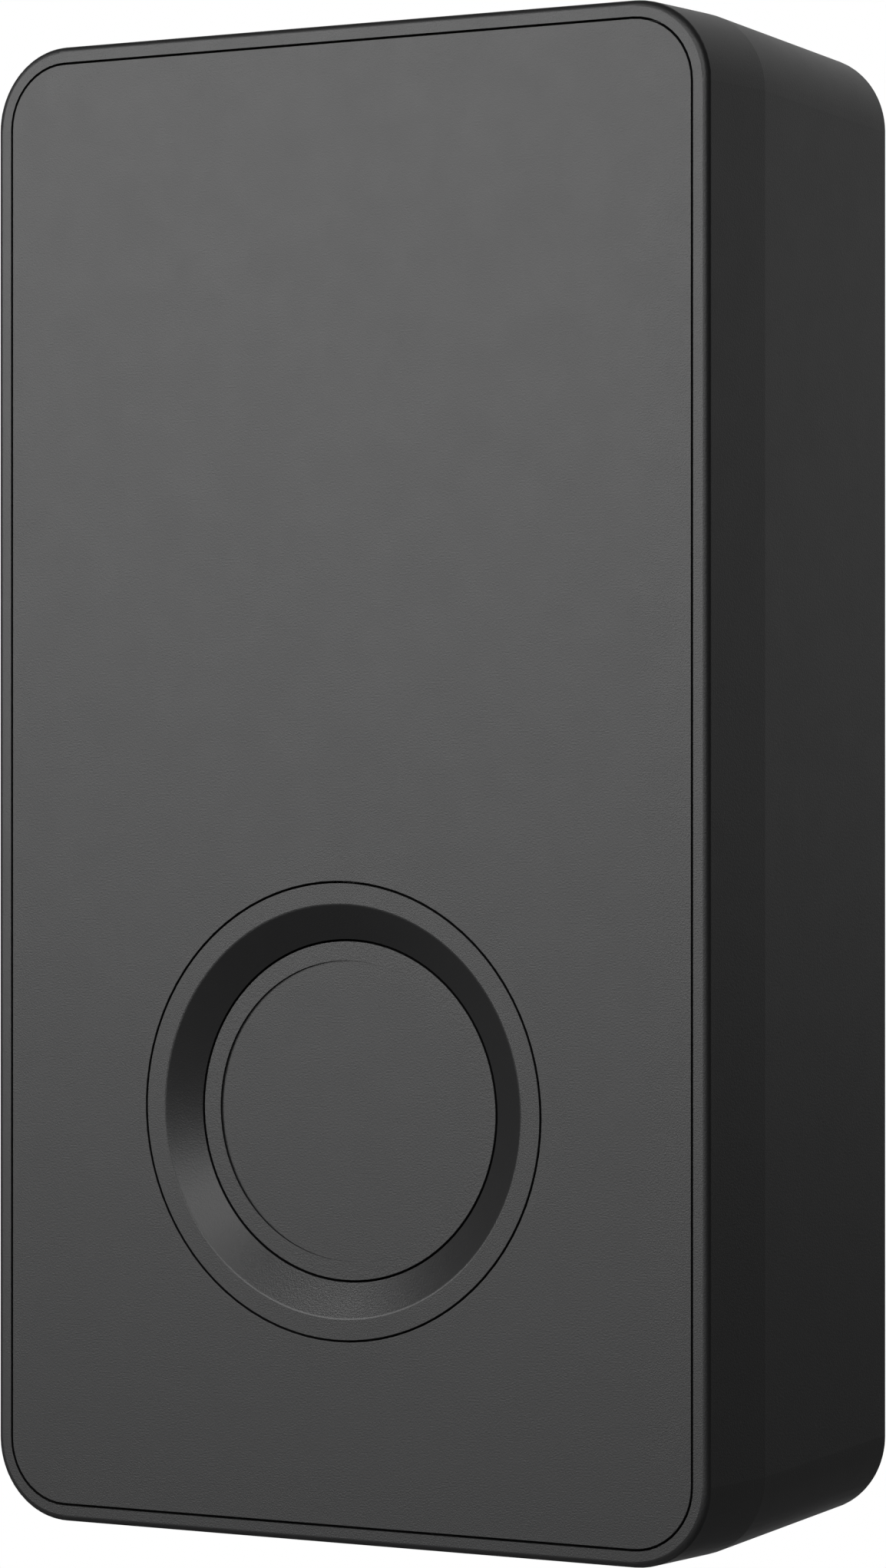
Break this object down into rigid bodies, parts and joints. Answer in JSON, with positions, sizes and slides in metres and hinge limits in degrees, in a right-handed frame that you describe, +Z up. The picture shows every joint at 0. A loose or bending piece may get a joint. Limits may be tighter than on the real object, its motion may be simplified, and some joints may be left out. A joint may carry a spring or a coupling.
{
  "type": "doorbell push",
  "caption": "Rounded dark grey battery doorbell push for a wall, with a pull-off face plate and a round button in a dished ring.",
  "frame": {"origin": "middle of the wall bracket's back face, on the wall", "axes": "+Z up, +X to the right as a caller sees it, +Y into the wall; the button faces -Y"},
  "size_m": [0.0624, 0.0312, 0.1144],
  "materials": {
    "case_plastic": "dark grey, fine moulded grain",
    "plate_plastic": "dark grey, fine moulded grain",
    "ring_plastic": "dark grey, fine moulded grain",
    "cap_plastic": "dark grey, fine moulded grain",
    "bracket_plastic": "dark grey, plain moulded",
    "inner_plastic": "black, plain moulded",
    "plunger_plastic": "pale moulded",
    "seal_rubber": "black silicone",
    "screw_steel": "zinc plated",
    "insert_brass": "turned",
    "cell_wrap": "shrink sleeve, bare",
    "contact_metal": "nickel plated",
    "board_laminate": "solder mask",
    "shield_metal": "tinned",
    "chip_plastic": "moulded, bare",
    "capacitor_can": "drawn can",
    "antenna_wire": "copper wire"
  },
  "bodies": {
    "case": {"rear_housing": "case_plastic", "front_cover": "case_plastic", "case_gasket": "seal_rubber", "case_screws": "screw_steel", "wall_bracket": "bracket_plastic", "bracket_insert": "insert_brass", "security_screw": "screw_steel", "battery_tray": "inner_plastic", "tray_screws": "screw_steel", "cell_left": "cell_wrap", "cell_right": "cell_wrap", "contact_bridge": "contact_metal", "contact_negative": "contact_metal", "contact_positive": "contact_metal", "contact_springs": "contact_metal", "main_board": "board_laminate", "board_screws": "screw_steel", "radio_board": "board_laminate", "radio_shield": "shield_metal", "antenna_coil": "antenna_wire", "board_chips": "chip_plastic", "capacitor": "capacitor_can", "switch_body": "inner_plastic", "spring_seat": "inner_plastic", "return_spring": "contact_metal", "button_ring": "ring_plastic", "ring_gasket": "seal_rubber", "ring_nut": "inner_plastic"},
    "button": {"button_cap": "cap_plastic", "cap_seal": "seal_rubber"},
    "plunger": {"switch_plunger": "plunger_plastic"},
    "plate": {"face_plate": "plate_plastic", "plate_seal": "seal_rubber"}
  },
  "joints": [
    {"name": "button_press", "type": "slide", "parent": "case", "child": "button", "axis": [0, 1, 0], "range_m": [0, 0.0008], "stiffness_N_per_m": 1500, "springref_m": -0.001, "deforming": ["return_spring"]},
    {"name": "plunger_press", "type": "slide", "parent": "case", "child": "plunger", "axis": [0, 1, 0], "range_m": [0, 0.0008]},
    {"name": "face_plate_pull", "type": "slide", "parent": "case", "child": "plate", "axis": [0, -1, 0], "range_m": [0, 0.025]}
  ],
  "couplings": [
    {"joint": "plunger_press", "follows": "button_press", "ratio": 1}
  ]
}
